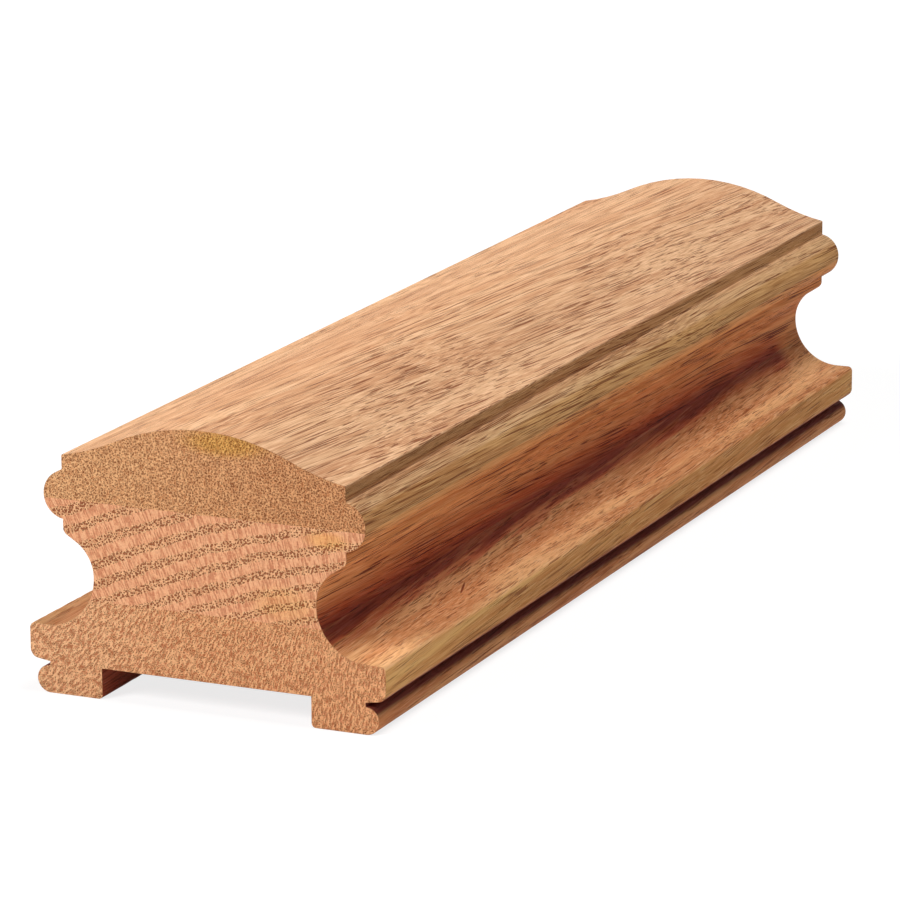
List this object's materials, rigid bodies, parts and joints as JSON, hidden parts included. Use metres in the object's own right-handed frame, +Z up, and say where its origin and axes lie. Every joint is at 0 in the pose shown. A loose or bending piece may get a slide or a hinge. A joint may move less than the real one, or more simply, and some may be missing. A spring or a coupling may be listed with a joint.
{
  "type": "wooden handrail",
  "caption": "Straight length of moulded oak stair handrail with a crowned top, a bead and finger coves along its sides, and a shallow plough underneath that takes balusters.",
  "frame": {"origin": "middle of the length and of the width, on the plane of the soles of the two feet", "axes": "+X across the rail, +Y along it to its far end, +Z up to the crown"},
  "size_m": [0.0762, 0.26, 0.0559],
  "materials": {
    "base_oak": "planed, unfinished",
    "middle_oak": "planed, unfinished",
    "cap_oak": "planed, unfinished"
  },
  "bodies": {
    "root": {"base_board": "base_oak", "middle_board": "middle_oak", "cap_board": "cap_oak"}
  },
  "joints": []
}
